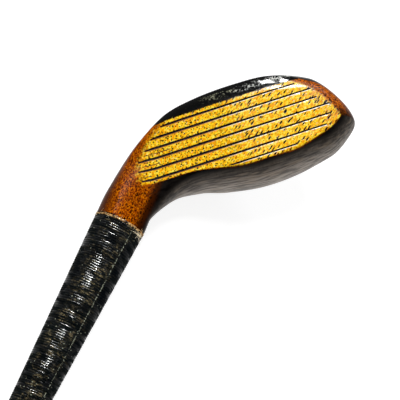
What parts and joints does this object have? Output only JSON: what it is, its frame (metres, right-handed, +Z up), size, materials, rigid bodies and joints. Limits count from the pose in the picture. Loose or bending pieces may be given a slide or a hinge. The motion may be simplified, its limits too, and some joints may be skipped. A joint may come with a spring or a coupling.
{
  "type": "hickory golf wood",
  "caption": "Right-handed wooden-headed golf club: lofted scored face, horn slip at the leading edge, bent splice neck with waxed whipping, hickory shaft and wound leather grip.",
  "frame": {"origin": "bottom centre of the box round the whole club, on the surface that it lies on", "axes": "+X runs along the shaft toward the head, +Z is up from the surface that the club lies on, and the crown of the head faces -Y and up"},
  "size_m": [1.104, 0.0776, 0.0724],
  "materials": {
    "head_wood": "varnished, golden on the face and stained near black on the crown",
    "horn": "polished black horn",
    "peg_wood": "end grain, flush",
    "lead": "dull grey lead",
    "shaft_wood": "oiled hickory",
    "waxed_thread": "black pitched thread, worn to tan in places",
    "listing_cloth": "coarse cloth",
    "grip_leather": "dark suede side out",
    "tack_steel": "dull steel"
  },
  "bodies": {
    "root": {"head": "head_wood", "horn_slip": "horn", "horn_peg_heel": "peg_wood", "horn_peg_middle": "peg_wood", "horn_peg_toe": "peg_wood", "back_weight": "lead", "shaft": "shaft_wood", "neck_whipping_thread": "waxed_thread", "neck_whipping_sleeve": "waxed_thread", "grip_underlisting": "listing_cloth", "grip_leather": "grip_leather", "grip_whipping_lower": "waxed_thread", "grip_whipping_butt": "waxed_thread", "grip_tack_lower": "tack_steel", "grip_tack_butt": "tack_steel"}
  },
  "joints": []
}
